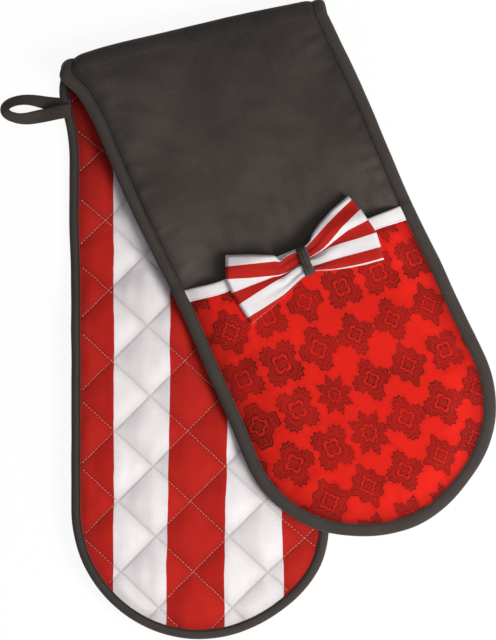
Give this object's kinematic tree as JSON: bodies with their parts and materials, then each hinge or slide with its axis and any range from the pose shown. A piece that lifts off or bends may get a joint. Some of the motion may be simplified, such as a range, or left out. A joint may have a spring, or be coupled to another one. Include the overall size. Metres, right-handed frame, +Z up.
{
  "type": "double oven glove",
  "caption": "Padded double oven glove: a long quilted strip with a hand pocket at each end, folded flat, with tape binding, a bow and a hanging loop.",
  "frame": {"origin": "centre of the flat underside of the rear pocket's round end, where the glove rests on a table", "axes": "+Z up from the table, +Y along the rear half from its round end towards the crease, +X to the right seen from above"},
  "size_m": [0.3539, 0.4626, 0.0425],
  "materials": {
    "charcoal_cloth": "plain woven cotton",
    "charcoal_tape": "bias tape",
    "printed_cloth": "printed cotton",
    "striped_cloth": "red and white striped cotton",
    "white_cloth": "plain white cotton",
    "wadding": "soft wadding"
  },
  "bodies": {
    "rear_half": {"rear_outer_cloth": "charcoal_cloth", "rear_wadding": "wadding", "rear_quilted_lining": "striped_cloth", "rear_binding": "charcoal_tape", "rear_pocket_lining": "white_cloth", "rear_pocket_wadding": "wadding", "rear_pocket_print_cloth": "printed_cloth", "rear_mouth_band": "white_cloth", "fold_lining": "striped_cloth", "fold_wadding": "wadding", "fold_outer_cloth": "charcoal_cloth", "fold_binding_left": "charcoal_tape", "fold_binding_right": "charcoal_tape"},
    "front_half": {"front_outer_cloth": "charcoal_cloth", "front_wadding": "wadding", "front_quilted_lining": "striped_cloth", "front_binding": "charcoal_tape", "front_pocket_lining": "white_cloth", "front_pocket_wadding": "wadding", "front_pocket_print_cloth": "printed_cloth", "front_mouth_band": "white_cloth", "bow_knot": "charcoal_tape"},
    "left_bow_wing": {"bow_wing_left": "striped_cloth"},
    "right_bow_wing": {"bow_wing_right": "striped_cloth"},
    "loop": {"hanging_loop": "charcoal_tape"}
  },
  "joints": [
    {"name": "front_half_fold", "type": "hinge", "parent": "rear_half", "child": "front_half", "pos_m": [0, 0.3382, 0.0121], "axis": [-0.9767, -0.2147, 0], "range_deg": [0, 175], "deforming": ["fold_lining", "fold_wadding", "fold_outer_cloth", "fold_binding_left", "fold_binding_right"]},
    {"name": "bow_left_lift", "type": "hinge", "parent": "front_half", "child": "left_bow_wing", "pos_m": [0.07421, 0.17927, 0.0386], "axis": [-0.3653, 0.9309, 0], "range_deg": [0, 60]},
    {"name": "bow_right_lift", "type": "hinge", "parent": "front_half", "child": "right_bow_wing", "pos_m": [0.08293, 0.18281, 0.0386], "axis": [0.4928, -0.8701, 0], "range_deg": [0, 60]},
    {"name": "loop_lift", "type": "hinge", "parent": "rear_half", "child": "loop", "pos_m": [-0.09298, 0.2932, 0.00865], "axis": [-0.1874, 0.9823, 0], "range_deg": [0, 90]}
  ]
}
